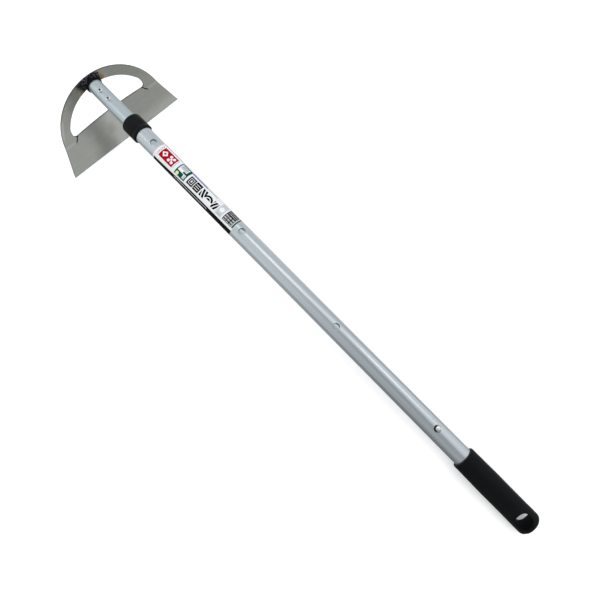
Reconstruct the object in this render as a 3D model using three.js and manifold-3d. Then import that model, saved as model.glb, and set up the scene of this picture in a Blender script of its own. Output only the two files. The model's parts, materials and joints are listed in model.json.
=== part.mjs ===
// A telescopic half-moon hoe: a stamped stirrup-shaped blade on an aluminium tube that slides in a
// thicker one, held by a sprung button in one of four holes. Millimetres, +Z up, standing at rest on
// its cutting edge and the end of its grip.
//
// Every piece is first placed in the shaft's own frame: +X runs along the shaft from the head to the
// grip, with x = 0 at the front end of the inner tube, and +Z is the side with the snap holes.
import * as THREE from "three";
import { mergeVertices } from "three/addons/utils/BufferGeometryUtils.js";
import Module from "manifold-3d";

const wasm = await Module();
wasm.setup();

// Driving dimensions.
const OUTER_RADIUS = 12.5;
const OUTER_WALL = 1.4;
const INNER_RADIUS = 10.4;
const INNER_WALL = 1.3;
const TOUCH_GAP = 0.3; // between two pieces that touch
const RUN_GAP = 0.1; // between two pieces that slide on each other
const ROUND = 64; // facets round a tube

const OUTER_FRONT_X = 83;
const OUTER_REAR_X = 771;
const INNER_REAR_X = 672;
const FIRST_HOLE_X = 127.3;
const HOLE_PITCH = 173.3;
const HOLE_COUNT = 4;
const HOLE_RADIUS = 4.5;
const LATCH_X = FIRST_HOLE_X + HOLE_PITCH * (HOLE_COUNT - 1);
const LABEL_FRONT_X = 138;
const LABEL_REAR_X = 289.5;
const LABEL_THICKNESS = 0.2;

const PLATE_THICKNESS = 2;
const FOLD_X = 11.8; // the fold between the arch and the blade, on the face that looks to the grip
const FOLD_Z = -56.5;
const ARCH_LEAN = THREE.MathUtils.degToRad(19);
const BLADE_LEAN = THREE.MathUtils.degToRad(25);
const ARCH_RADIUS = 88;
const ARCH_DROP = 18; // its centre lies this far below the fold
const OPENING_RADIUS = 75.8;
const OPENING_DROP = 20.7;
const OPENING_CORNER_RADIUS = 7;
const OPENING_CORNER_HEIGHT = 13.2;
const BLADE_DEPTH = 43.6;
const BLADE_HALF_WIDTH = 102.4;
const TONGUE_HALF_WIDTH = 60.8; // the blade's strip above the fold, between the two relief slits
const TONGUE_END_HEIGHT = 6.8;
const TONGUE_MIDDLE_HEIGHT = 9.4;
const SLIT_FOOT = [65.6, 1.2];
const SLIT_RADIUS = 0.9;
const GRIND_WIDTH = 7;
const EDGE_LAND = 0.4;

const STUB_RADIUS = 7.5;
const SOCKET_RADIUS = 12;
const SOCKET_FRONT_X = -2.4;
const SOCKET_REAR_X = 2.6;
const SPIGOT_REAR_X = 46;
const BEAD_STRETCH = 1.28; // the weld runs further along the arch than across it
const SCREW_X = [18.8, 36.1];
const SCREW_TURN = THREE.MathUtils.degToRad(9); // the screws sit a little to one side of the holes
const SCREW_HEAD_RADIUS = 3.4;
const SCREW_SHANK_RADIUS = 1.6;

const COLLAR_FRONT_X = 76;
const COLLAR_REAR_X = 102.5;
const COLLAR_RADIUS = 14.8;
const BUSH_LENGTH = 4;

const BUTTON_RADIUS = 4;
const BUTTON_TOP_Z = 15.6;
const BUTTON_FOOT_Z = 6.6;
const BUTTON_DOME = 2.4;
const SPRING_WIDTH = 8;
const SPRING_THICKNESS = 0.8;
const SPRING_BEND_X = 606;

const GRIP_FRONT_X = 694.5;
const GRIP_REAR_X = 807.5;
const GRIP_RADIUS = 15.8;
const GRIP_BORE_REAR_X = 775.6;
const HANG_HOLE_X = 790.6;
const HANG_HOLE_SIZE = 18.6;
const HANG_HOLE_CORNER_RADIUS = 6.5;
const GRIP_TURN = THREE.MathUtils.degToRad(22); // the grip sits turned on the tube

// Solids.

function solidOf(geometry) {
  const bare = geometry.clone();
  bare.deleteAttribute("normal");
  bare.deleteAttribute("uv");
  const merged = mergeVertices(bare, 1e-4);
  const mesh = new wasm.Mesh({
    numProp: 3,
    vertProperties: new Float32Array(merged.attributes.position.array),
    triVerts: new Uint32Array(merged.index.array),
  });
  return new wasm.Manifold(mesh);
}

function geometryOf(solid) {
  const mesh = solid.getMesh();
  const geometry = new THREE.BufferGeometry();
  geometry.setAttribute("position", new THREE.BufferAttribute(mesh.vertProperties, 3));
  geometry.setIndex(new THREE.BufferAttribute(mesh.triVerts, 1));
  geometry.computeVertexNormals();
  return geometry;
}

// A solid turned about the shaft. The outline is a list of [x, radius] that runs towards the grip on
// the outside, and either closes on itself or starts and ends on the axis.
function turned(outline, facets = ROUND) {
  const points = outline.map(([x, radius]) => new THREE.Vector2(radius, x));
  return new THREE.LatheGeometry(points, facets).rotateZ(-Math.PI / 2);
}

function sleeve(x0, x1, innerRadius, outerRadius) {
  return turned([
    [x0, innerRadius],
    [x0, outerRadius],
    [x1, outerRadius],
    [x1, innerRadius],
    [x0, innerRadius],
  ]);
}

function rod(x0, x1, radius, facets = ROUND) {
  return turned([[x0, 0], [x0, radius], [x1, radius], [x1, 0]], facets);
}

// A drill through the shaft's upper wall at x, turned about the shaft by an angle.
function drill(x, radius, z0, z1, turn = 0) {
  return new THREE.CylinderGeometry(radius, radius, z1 - z0, 24)
    .rotateX(Math.PI / 2)
    .translate(x, 0, (z0 + z1) / 2)
    .rotateX(turn);
}

function arcPoints(cx, cy, radius, from, to, steps) {
  const points = [];
  for (let i = 0; i <= steps; i += 1) {
    const angle = from + ((to - from) * i) / steps;
    points.push(new THREE.Vector2(cx + radius * Math.cos(angle), cy + radius * Math.sin(angle)));
  }
  return points;
}

function mirrored(points) {
  return points.map((p) => new THREE.Vector2(-p.x, p.y)).reverse();
}

function piece(name, geometry, color, roughness, metalness) {
  const material = new THREE.MeshStandardMaterial({ color, roughness, metalness });
  const mesh = new THREE.Mesh(geometry, material);
  mesh.name = name;
  return mesh;
}

// The head.

// Moves a flat outline, drawn as (across, up from the fold), onto a plane that leans by an angle.
function plateMatrix(lean) {
  const across = new THREE.Vector3(0, 1, 0);
  const up = new THREE.Vector3(-Math.sin(lean), 0, Math.cos(lean));
  const out = new THREE.Vector3(Math.cos(lean), 0, Math.sin(lean));
  return new THREE.Matrix4().makeBasis(across, up, out).setPosition(FOLD_X, 0, FOLD_Z);
}

function plateSolid(outline, lean) {
  const flat = new THREE.ExtrudeGeometry(new THREE.Shape(outline), {
    depth: PLATE_THICKNESS,
    bevelEnabled: false,
  });
  return solidOf(flat.translate(0, 0, -PLATE_THICKNESS).applyMatrix4(plateMatrix(lean)));
}

function archSolid() {
  const foldHalfWidth = Math.sqrt(ARCH_RADIUS ** 2 - ARCH_DROP ** 2);
  const outerStart = Math.asin(ARCH_DROP / ARCH_RADIUS);
  const outer = arcPoints(0, -ARCH_DROP, ARCH_RADIUS, outerStart, Math.PI - outerStart, 64);
  const cornerReach = OPENING_RADIUS - OPENING_CORNER_RADIUS;
  const cornerRise = OPENING_CORNER_HEIGHT + OPENING_DROP;
  const cornerX = Math.sqrt(cornerReach ** 2 - cornerRise ** 2);
  const meet = Math.atan2(cornerRise, cornerX);
  const slitTop = -0.9; // the corner's arc ends here, in radians below the horizontal
  const corner = arcPoints(
    cornerX, OPENING_CORNER_HEIGHT, OPENING_CORNER_RADIUS, slitTop, meet, 8,
  );
  const crown = arcPoints(0, -OPENING_DROP, OPENING_RADIUS, meet, Math.PI - meet, 48);
  const slitSide = [
    new THREE.Vector2(SLIT_FOOT[0] + SLIT_RADIUS, 0),
    new THREE.Vector2(SLIT_FOOT[0] + SLIT_RADIUS, SLIT_FOOT[1]),
  ];
  // The arch's two feet run a little way into the blade, which joins them to it.
  const footDepth = 0.8;
  const inside = [...slitSide, ...corner, ...crown.slice(1, -1), ...mirrored(corner), ...mirrored(slitSide)];
  const outline = [
    new THREE.Vector2(foldHalfWidth, -footDepth),
    ...outer,
    new THREE.Vector2(-foldHalfWidth, -footDepth),
    new THREE.Vector2(-SLIT_FOOT[0] - SLIT_RADIUS, -footDepth),
    ...inside.reverse(),
    new THREE.Vector2(SLIT_FOOT[0] + SLIT_RADIUS, -footDepth),
  ];
  return plateSolid(outline, ARCH_LEAN);
}

function bladeSolid() {
  const foldHalfWidth = Math.sqrt(ARCH_RADIUS ** 2 - ARCH_DROP ** 2);
  const rise = TONGUE_MIDDLE_HEIGHT - TONGUE_END_HEIGHT;
  const tongueRadius = (TONGUE_HALF_WIDTH ** 2 + rise ** 2) / (2 * rise);
  const half = Math.asin(TONGUE_HALF_WIDTH / tongueRadius);
  const middle = Math.PI / 2;
  const tongue = arcPoints(
    0, TONGUE_MIDDLE_HEIGHT - tongueRadius, tongueRadius, middle - half, middle + half, 16,
  );
  const slitFloor = [
    new THREE.Vector2(SLIT_FOOT[0] + SLIT_RADIUS, 0.2),
    new THREE.Vector2(SLIT_FOOT[0], 0.3),
    new THREE.Vector2(SLIT_FOOT[0] - SLIT_RADIUS, SLIT_FOOT[1]),
  ];
  const outline = [
    new THREE.Vector2(-BLADE_HALF_WIDTH, -BLADE_DEPTH),
    new THREE.Vector2(BLADE_HALF_WIDTH, -BLADE_DEPTH),
    new THREE.Vector2(foldHalfWidth, 0),
    ...slitFloor,
    ...tongue,
    ...mirrored(slitFloor),
    new THREE.Vector2(-foldHalfWidth, 0),
  ];
  return plateSolid(outline, BLADE_LEAN).subtract(grindSolid());
}

// The wedge that the grinding takes off the hidden side of the cutting edge.
function grindSolid() {
  const slope = new THREE.Vector2(GRIND_WIDTH, EDGE_LAND - PLATE_THICKNESS).normalize();
  const start = new THREE.Vector2(-BLADE_DEPTH, -EDGE_LAND).addScaledVector(slope, -3);
  const end = new THREE.Vector2(GRIND_WIDTH - BLADE_DEPTH, -PLATE_THICKNESS).addScaledVector(slope, 3);
  const below = new THREE.Vector2(-BLADE_DEPTH - 4, -PLATE_THICKNESS - 4);
  const width = 2 * BLADE_HALF_WIDTH + 10;
  const wedge = new THREE.ExtrudeGeometry(new THREE.Shape([start, below, end]), {
    depth: width,
    bevelEnabled: false,
  });
  // The wedge is drawn as (up, out) and runs across the plate.
  const turn = new THREE.Matrix4().makeBasis(
    new THREE.Vector3(0, 1, 0),
    new THREE.Vector3(0, 0, 1),
    new THREE.Vector3(1, 0, 0),
  );
  wedge.translate(0, 0, -width / 2).applyMatrix4(turn);
  return solidOf(wedge.applyMatrix4(plateMatrix(BLADE_LEAN)));
}

function headPlate() {
  return piece("head_plate", geometryOf(archSolid().add(bladeSolid())), 0x8f8f88, 0.45, 0.9);
}

// Where the shaft's axis meets the plate's face, measured from the fold up the arch.
const AXIS_HEIGHT = -FOLD_Z / Math.cos(ARCH_LEAN);

// A box that holds everything on the grip's side of the arch's face, past a gap.
function frontSpace(gap) {
  const size = 80;
  const space = new THREE.BoxGeometry(size, size, size).translate(0, AXIS_HEIGHT, gap + size / 2);
  return solidOf(space.applyMatrix4(plateMatrix(ARCH_LEAN)));
}

// The steel stub: a rod welded to the arch, a cup round the tube's end, and a spigot inside the tube.
function headStub() {
  const tubeGap = INNER_RADIUS + TOUCH_GAP;
  const spigotRadius = INNER_RADIUS - INNER_WALL - TOUCH_GAP;
  const outline = [
    [-16, 0],
    [-16, STUB_RADIUS],
    [SOCKET_FRONT_X, STUB_RADIUS],
    [SOCKET_FRONT_X, SOCKET_RADIUS - 0.8],
    [SOCKET_FRONT_X + 0.8, SOCKET_RADIUS],
    [SOCKET_REAR_X, SOCKET_RADIUS],
    [SOCKET_REAR_X, tubeGap],
    [-TOUCH_GAP, tubeGap],
    [-TOUCH_GAP, spigotRadius],
    [SPIGOT_REAR_X - 1, spigotRadius],
    [SPIGOT_REAR_X, spigotRadius - 1],
    [SPIGOT_REAR_X, 0],
  ];
  let solid = solidOf(turned(outline)).intersect(frontSpace(TOUCH_GAP));
  for (const x of SCREW_X) {
    solid = solid.subtract(solidOf(drill(x, SCREW_SHANK_RADIUS + TOUCH_GAP, 1, 12, SCREW_TURN)));
  }
  return piece("head_stub", geometryOf(solid), 0x1c1b1b, 0.7, 0.6);
}

// The fillet of weld where the stub meets the crown of the arch.
function weldBead() {
  const bead = turned([
    [TOUCH_GAP, 0],
    [TOUCH_GAP, 12.2],
    [1.5, 11.6],
    [2.8, 10.2],
    [3.7, 8.6],
    [3.7, 0],
  ], 36);
  bead.rotateY(-Math.PI / 2).scale(BEAD_STRETCH, 1, 1);
  bead.translate(0, AXIS_HEIGHT, 0).applyMatrix4(plateMatrix(ARCH_LEAN));
  const band = new THREE.BoxGeometry(40, 40, 40).translate(-8, 0, 15); // the bead ends with the arch's band
  const socketSpace = rod(SOCKET_FRONT_X - TOUCH_GAP, 12, SOCKET_RADIUS + 2);
  const solid = solidOf(bead)
    .intersect(solidOf(band))
    .subtract(solidOf(rod(-20, 10, STUB_RADIUS + TOUCH_GAP)))
    .subtract(solidOf(socketSpace));
  return piece("weld_bead", geometryOf(solid), 0x181514, 0.8, 0.4);
}

function tubeScrew(name, x) {
  const seat = INNER_RADIUS + TOUCH_GAP;
  const screw = new THREE.LatheGeometry([
    new THREE.Vector2(0, 2.4),
    new THREE.Vector2(SCREW_SHANK_RADIUS, 3.4),
    new THREE.Vector2(SCREW_SHANK_RADIUS, seat),
    new THREE.Vector2(SCREW_HEAD_RADIUS, seat),
    new THREE.Vector2(SCREW_HEAD_RADIUS, seat + 0.7),
    new THREE.Vector2(SCREW_HEAD_RADIUS * 0.84, seat + 1.5),
    new THREE.Vector2(SCREW_HEAD_RADIUS * 0.5, seat + 1.95),
    new THREE.Vector2(0, seat + 2.1),
  ], 24).rotateX(Math.PI / 2);
  let solid = solidOf(screw);
  for (const quarter of [0, Math.PI / 2]) {
    const slot = new THREE.BoxGeometry(3.6, 0.8, 2).rotateZ(quarter + 0.6).translate(0, 0, seat + 2);
    solid = solid.subtract(solidOf(slot));
  }
  const geometry = geometryOf(solid).translate(x, 0, 0).rotateX(SCREW_TURN);
  return piece(name, geometry, 0xc9ccd0, 0.25, 1);
}

// The sliding tube and what it carries.

function innerTube() {
  let solid = solidOf(sleeve(0, INNER_REAR_X, INNER_RADIUS - INNER_WALL, INNER_RADIUS));
  for (const x of SCREW_X) {
    solid = solid.subtract(solidOf(drill(x, SCREW_SHANK_RADIUS + TOUCH_GAP, 6, 14, SCREW_TURN)));
  }
  solid = solid.subtract(solidOf(drill(LATCH_X, BUTTON_RADIUS + TOUCH_GAP, 5, 14)));
  return piece("inner_tube", geometryOf(solid), 0xb6bfc4, 0.35, 0.9);
}

function guideBush() {
  const boreRadius = OUTER_RADIUS - OUTER_WALL;
  const spigotRadius = INNER_RADIUS - INNER_WALL - TOUCH_GAP;
  const front = INNER_REAR_X - 14;
  const rear = INNER_REAR_X + 7;
  const outline = [
    [front, spigotRadius - 1.6],
    [front, spigotRadius],
    [INNER_REAR_X + TOUCH_GAP, spigotRadius],
    [INNER_REAR_X + TOUCH_GAP, boreRadius - RUN_GAP],
    [rear - 1, boreRadius - RUN_GAP],
    [rear, boreRadius - 1],
    [rear, spigotRadius - 1.6],
    [front, spigotRadius - 1.6],
  ];
  return piece("guide_bush", turned(outline), 0xd8d8d2, 0.6, 0);
}

// A strip of spring steel bent to a V, its closed end towards the head.
function buttonSpring() {
  const upperEnd = new THREE.Vector2(LATCH_X + 8, BUTTON_FOOT_Z - TOUCH_GAP);
  const lowerEnd = new THREE.Vector2(LATCH_X + 6, -7.6);
  const bendRadius = 2.2;
  const outside = arcPoints(SPRING_BEND_X, 0, bendRadius, Math.PI / 2, 1.5 * Math.PI, 10);
  const innerRadius = bendRadius - SPRING_THICKNESS;
  const inside = arcPoints(SPRING_BEND_X, 0, innerRadius, 1.5 * Math.PI, Math.PI / 2, 10);
  const flatStart = LATCH_X - 9;
  const outline = [
    upperEnd,
    new THREE.Vector2(flatStart, upperEnd.y),
    ...outside,
    lowerEnd,
    new THREE.Vector2(lowerEnd.x, lowerEnd.y + SPRING_THICKNESS),
    ...inside,
    new THREE.Vector2(flatStart, upperEnd.y - SPRING_THICKNESS),
    new THREE.Vector2(upperEnd.x, upperEnd.y - SPRING_THICKNESS),
  ];
  const strip = new THREE.ExtrudeGeometry(new THREE.Shape(outline), {
    depth: SPRING_WIDTH,
    bevelEnabled: false,
  });
  strip.rotateX(Math.PI / 2).translate(0, SPRING_WIDTH / 2, 0);
  return piece("button_spring", strip, 0x8b8f94, 0.4, 1);
}

function snapButton() {
  const shoulder = BUTTON_TOP_Z - BUTTON_DOME;
  const steps = 8;
  const dome = [];
  for (let i = 0; i <= steps; i += 1) {
    const angle = (Math.PI / 2) * (i / steps);
    dome.push(new THREE.Vector2(
      i === steps ? 0 : BUTTON_RADIUS * Math.cos(angle),
      shoulder + BUTTON_DOME * Math.sin(angle),
    ));
  }
  const outline = [
    new THREE.Vector2(0, BUTTON_FOOT_Z),
    new THREE.Vector2(BUTTON_RADIUS, BUTTON_FOOT_Z),
    ...dome,
  ];
  const button = new THREE.LatheGeometry(outline, 32).rotateX(Math.PI / 2).translate(LATCH_X, 0, 0);
  return piece("snap_button", button, 0xe2e4e6, 0.12, 1);
}

// The handle.

function outerTube() {
  let solid = solidOf(sleeve(OUTER_FRONT_X, OUTER_REAR_X, OUTER_RADIUS - OUTER_WALL, OUTER_RADIUS));
  for (let i = 0; i < HOLE_COUNT; i += 1) {
    solid = solid.subtract(solidOf(drill(FIRST_HOLE_X + i * HOLE_PITCH, HOLE_RADIUS, 8, 16)));
  }
  return piece("outer_tube", geometryOf(solid), 0xb9c0c5, 0.35, 0.9);
}

function tubeCollar() {
  const lip = INNER_RADIUS + 0.4;
  const pocket = OUTER_RADIUS + TOUCH_GAP;
  const step = OUTER_FRONT_X - TOUCH_GAP - BUSH_LENGTH - TOUCH_GAP;
  const nose = arcPoints(COLLAR_FRONT_X + 3.4, COLLAR_RADIUS - 3.7, 3.4, Math.PI, Math.PI / 2, 6);
  const outline = [
    [COLLAR_FRONT_X, lip],
    ...nose.map((p) => [p.x, p.y]),
    [COLLAR_REAR_X - 5, COLLAR_RADIUS],
    [COLLAR_REAR_X - 0.8, COLLAR_RADIUS],
    [COLLAR_REAR_X, COLLAR_RADIUS - 0.7],
    [COLLAR_REAR_X, pocket],
    [step, pocket],
    [step, lip],
    [COLLAR_FRONT_X, lip],
  ];
  return piece("tube_collar", turned(outline), 0x1b1c1f, 0.55, 0);
}

// A nylon ring between the collar's lip and the tube's mouth, which centres the inner tube.
function collarBush() {
  const rear = OUTER_FRONT_X - TOUCH_GAP;
  const bush = sleeve(rear - BUSH_LENGTH, rear, INNER_RADIUS + RUN_GAP, OUTER_RADIUS);
  return piece("collar_bush", bush, 0xd8d8d2, 0.6, 0);
}

function tubeLabel() {
  const inside = OUTER_RADIUS + TOUCH_GAP;
  const label = sleeve(LABEL_FRONT_X, LABEL_REAR_X, inside, inside + LABEL_THICKNESS);
  return piece("tube_label", label, 0xf2f2f0, 0.4, 0);
}

function tubePlug() {
  const spigotRadius = OUTER_RADIUS - OUTER_WALL - TOUCH_GAP;
  const outline = [
    [OUTER_REAR_X - 15, 0],
    [OUTER_REAR_X - 15, spigotRadius],
    [OUTER_REAR_X + TOUCH_GAP, spigotRadius],
    [OUTER_REAR_X + TOUCH_GAP, OUTER_RADIUS],
    [OUTER_REAR_X + 3, OUTER_RADIUS],
    [OUTER_REAR_X + 3, 0],
  ];
  return piece("tube_plug", turned(outline), 0x2a2a2c, 0.7, 0);
}

// The grip's outline from its open front to its closed end, as [x, radius].
function gripOutside() {
  const cornerRadius = 7;
  const endRadius = GRIP_RADIUS - 0.15;
  const corner = arcPoints(
    GRIP_REAR_X - 1.6 - cornerRadius, endRadius - cornerRadius, cornerRadius, Math.PI / 2, 0.25, 7,
  );
  return [
    [GRIP_FRONT_X, GRIP_RADIUS - 0.9],
    [GRIP_FRONT_X + 0.8, GRIP_RADIUS - 0.4],
    [GRIP_FRONT_X + 18, GRIP_RADIUS - 0.25],
    [GRIP_FRONT_X + 42, GRIP_RADIUS],
    [GRIP_FRONT_X + 62, GRIP_RADIUS - 0.2],
    [GRIP_FRONT_X + 78, GRIP_RADIUS - 0.3],
    ...corner.map((p) => [p.x, p.y]),
    [GRIP_REAR_X - 0.5, 5],
    [GRIP_REAR_X, 0],
  ];
}

// A square hole with round corners, straight through the grip's closed end.
function hangHole() {
  const reach = HANG_HOLE_SIZE / 2 - HANG_HOLE_CORNER_RADIUS;
  const outline = [];
  for (let i = 0; i < 4; i += 1) {
    const start = (i * Math.PI) / 2;
    const middle = start + Math.PI / 4;
    const cx = Math.sign(Math.cos(middle)) * reach;
    const cy = Math.sign(Math.sin(middle)) * reach;
    outline.push(...arcPoints(cx, cy, HANG_HOLE_CORNER_RADIUS, start, start + Math.PI / 2, 6));
  }
  const length = 60;
  return new THREE.ExtrudeGeometry(new THREE.Shape(outline), { depth: length, bevelEnabled: false })
    .translate(HANG_HOLE_X, 0, -length / 2)
    .rotateX(GRIP_TURN);
}

function grip() {
  const boreRadius = OUTER_RADIUS + TOUCH_GAP;
  const outline = [
    [GRIP_BORE_REAR_X, 0],
    [GRIP_BORE_REAR_X, boreRadius],
    [GRIP_FRONT_X + 1, boreRadius],
    [GRIP_FRONT_X, boreRadius + 0.6],
    ...gripOutside(),
  ];
  const solid = solidOf(turned(outline)).subtract(solidOf(hangHole()));
  return piece("grip", geometryOf(solid), 0x161718, 0.6, 0);
}

// The whole hoe, tilted until the cutting edge and the grip both meet the ground, and centred on it.

function restTilt() {
  const edgeX = FOLD_X + BLADE_DEPTH * Math.sin(BLADE_LEAN);
  const edgeZ = FOLD_Z - BLADE_DEPTH * Math.cos(BLADE_LEAN);
  const slopes = gripOutside().map(([x, radius]) => Math.atan((-radius - edgeZ) / (x - edgeX)));
  return Math.min(...slopes);
}

const shaft = new THREE.Group();
shaft.add(
  headPlate(),
  weldBead(),
  headStub(),
  tubeScrew("tube_screw_front", SCREW_X[0]),
  tubeScrew("tube_screw_rear", SCREW_X[1]),
  innerTube(),
  guideBush(),
  buttonSpring(),
  snapButton(),
  outerTube(),
  tubeCollar(),
  collarBush(),
  tubeLabel(),
  tubePlug(),
  grip(),
);
shaft.rotation.y = restTilt();
shaft.updateMatrixWorld(true);
const extent = new THREE.Box3().setFromObject(shaft, true);
shaft.position.set(
  -(extent.min.x + extent.max.x) / 2,
  -(extent.min.y + extent.max.y) / 2,
  -extent.min.z,
);

const hoe = new THREE.Group();
hoe.add(shaft);
export default hoe;
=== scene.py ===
"""The looks of a telescopic stirrup hoe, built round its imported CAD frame.

Shapes are drawn in the shaft's own frame, in millimetres: +X runs along the shaft from the head to
the grip, x = 0 is the front end of the inner tube, and +Z is the side with the snap holes. A turn
is an angle about the shaft, zero at +Z and positive towards +Y. SHAFT brings them to the row frame.
"""
import json
import math

import bmesh
import bpy
from mathutils import Matrix, Vector, noise


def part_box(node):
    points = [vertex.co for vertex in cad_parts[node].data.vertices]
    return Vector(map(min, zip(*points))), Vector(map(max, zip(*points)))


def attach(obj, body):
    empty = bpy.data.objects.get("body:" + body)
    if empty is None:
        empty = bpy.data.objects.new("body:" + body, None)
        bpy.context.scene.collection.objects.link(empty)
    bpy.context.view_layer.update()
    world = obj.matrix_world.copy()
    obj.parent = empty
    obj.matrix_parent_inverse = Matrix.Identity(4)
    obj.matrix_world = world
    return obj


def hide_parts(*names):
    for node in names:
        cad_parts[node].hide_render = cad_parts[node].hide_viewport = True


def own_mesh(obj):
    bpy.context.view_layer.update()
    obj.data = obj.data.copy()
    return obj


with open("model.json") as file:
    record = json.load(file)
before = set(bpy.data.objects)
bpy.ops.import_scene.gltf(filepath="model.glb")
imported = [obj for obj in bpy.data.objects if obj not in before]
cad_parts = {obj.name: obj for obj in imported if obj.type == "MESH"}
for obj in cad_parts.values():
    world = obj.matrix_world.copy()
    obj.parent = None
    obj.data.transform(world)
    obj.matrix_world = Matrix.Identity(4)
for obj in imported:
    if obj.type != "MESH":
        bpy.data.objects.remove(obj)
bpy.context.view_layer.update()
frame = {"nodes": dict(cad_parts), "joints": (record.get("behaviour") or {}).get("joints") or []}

MM = 0.001

# Sizes shared with the CAD model, in millimetres.
OUTER_RADIUS = 12.5
OUTER_WALL = 1.4
INNER_RADIUS = 10.4
INNER_WALL = 1.3
INNER_LENGTH = 672
OUTER_ENDS = (83, 771)
FIRST_HOLE_X = 127.3
HOLE_PITCH = 173.3
HOLE_COUNT = 4
HOLE_RADIUS = 4.5
LATCH_X = FIRST_HOLE_X + HOLE_PITCH * (HOLE_COUNT - 1)
GAP = 0.3

FOLD = Vector((11.8, 0, -56.5))
ARCH_LEAN = math.radians(19)
BLADE_LEAN = math.radians(25)
PLATE_THICKNESS = 2
ARCH_RADIUS = 88
ARCH_DROP = 18
OPENING_RADIUS = 75.8
OPENING_DROP = 20.7
OPENING_ARC_RISE = 22
BLADE_DEPTH = 43.6
BLADE_HALF_WIDTH = 102.4
TONGUE_HALF_WIDTH = 60.8
TONGUE_END_HEIGHT = 6.8
TONGUE_MIDDLE_HEIGHT = 9.4
GRIND_WIDTH = 7
EDGE_LAND = 0.4
CUTTING_LINE = 0.5

STUB_RADIUS = 7.5
SOCKET_RADIUS = 12
SOCKET_ENDS = (-2.4, 0.3)
SPIGOT_REAR_X = 46
SCREW_X = (18.8, 36.1)
SCREW_TURN = math.radians(-9)
SCREW_HEAD_RADIUS = 3.4
SCREW_SHANK_RADIUS = 1.6

COLLAR_ENDS = (76, 102.5)
COLLAR_RADIUS = 14.8
COLLAR_LIP_RADIUS = 10.8
BUSH_LENGTH = 4
LABEL_ENDS = (138, 289.5)
LABEL_RADIUS = 13

BUTTON_RADIUS = 4
BUTTON_TOP_Z = 15.6
BUTTON_FOOT_Z = 6.6
BUTTON_DOME = 2.4
SPRING_WIDTH = 8
SPRING_THICKNESS = 0.8
SPRING_BEND_X = 606
SPRING_FOOT_Z = -7.6

GRIP_ENDS = (694.5, 807.5)
GRIP_RADIUS = 15.8
GRIP_BORE_REAR_X = 775.6
GRIP_TURN = math.radians(-22)
HANG_HOLE_X = 790.6
HANG_HOLE_SIZE = 18.6
HANG_HOLE_CORNER_RADIUS = 8.2


def shaft_matrix():
    joint = next(j for j in frame["joints"] if j["name"] == "extend")
    along = -Vector(joint["axis"]).normalized()
    across = Vector((0, 1, 0))
    up = along.cross(across)
    low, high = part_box("inner_tube")
    origin = (low + high) / 2 - along * INNER_LENGTH / 2 * MM
    axes = Matrix((along, across, up)).transposed().to_4x4()
    return Matrix.Translation(origin) @ axes @ Matrix.Scale(MM, 4)


SHAFT = shaft_matrix()


# Camera, lights and floor.

def make_camera():
    place = SHAFT @ Vector((495.4, -135.0, 625.6))
    aim = SHAFT @ Vector((416.4, -6.7, 0))
    picture_down = SHAFT.to_3x3() @ Vector((0.706, -0.671, -0.227))
    forward = (aim - place).normalized()
    right = picture_down.cross(forward).normalized()
    up = right.cross(forward)
    data = bpy.data.cameras.new("camera")
    data.lens = 30
    data.sensor_width = 36
    data.clip_start = 0.01
    camera = bpy.data.objects.new("camera", data)
    camera.matrix_world = Matrix.Translation(place) @ Matrix((right, up, -forward)).transposed().to_4x4()
    bpy.context.scene.collection.objects.link(camera)
    bpy.context.scene.camera = camera


def soft_box(name, place, aim, size, brightness, seen_in_gloss=True):
    data = bpy.data.lights.new(name, "AREA")
    data.shape = "RECTANGLE"
    data.size, data.size_y = size
    data.energy = brightness * math.pi * size[0] * size[1]
    light = bpy.data.objects.new(name, data)
    light.location = place
    light.rotation_euler = (Vector(aim) - Vector(place)).to_track_quat("-Z", "Y").to_euler()
    light.visible_glossy = seen_in_gloss
    bpy.context.scene.collection.objects.link(light)


# How the surround's brightness goes with direction: heading, where it changes, and from what to what.
SURROUND_FADES = (
    ((1, 0, 0), (-0.25, 0.15, 0.68, 0.36)),
    ((0, 0.5, 0.87), (-0.8, -0.35, 0.62, 1.0)),
    ((0.35, 0.75, -0.56), (0.81, 0.97, 1.0, 1.5)),
    ((0, -0.85, 0.53), (0.5, 0.95, 1.0, 1.2)),
)


def make_world():
    """A soft surround, brighter past the head than past the grip, and dim low down at the near side."""
    world = bpy.data.worlds.new("studio")
    world.use_nodes = True
    nodes = Nodes(world.node_tree)
    direction = nodes.add("TexCoord", "Generated")
    strength = None
    for heading, fade in SURROUND_FADES:
        share = nodes.add("VectorMath", "Value", {0: direction, 1: heading}, operation="DOT_PRODUCT")
        level = share.spread(*fade)
        strength = level if strength is None else strength * level
    background = world.node_tree.nodes["Background"]
    nodes.put(background.inputs["Strength"], strength)
    background.inputs["Color"].default_value = (0.97, 0.985, 1.0, 1)
    bpy.context.scene.world = world


def make_lights():
    soft_box("side_box", (1.05, 1.25, 1.1), (0.3, 0, 0), (2.4, 3.1), 0.40)
    soft_box("strip_box", (-0.28, 0.58, 1.9), (0, 0, 0), (0.55, 0.8), 0.78)
    soft_box("spark_left", (-1.3, -0.9, 1.5), (0, 0, 0), (0.14, 0.14), 6)
    soft_box("spark_right", (0.5, 1.2, 1.5), (0, 0, 0), (0.42, 0.42), 1.1)
    soft_box("fill_box", (0.2, -0.2, 2.6), (0, 0, 0), (4.2, 4.2), 1.55, seen_in_gloss=False)
    bpy.context.scene.view_settings.view_transform = "Standard"


def make_floor():
    bm = bmesh.new()
    bmesh.ops.create_grid(bm, x_segments=8, y_segments=8, size=4)
    mesh = bpy.data.meshes.new("floor")
    bm.to_mesh(mesh)
    bm.free()
    floor = bpy.data.objects.new("floor", mesh)
    bpy.context.scene.collection.objects.link(floor)
    mesh.materials.append(floor_material())
    floor.visible_glossy = False


# Materials.

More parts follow.
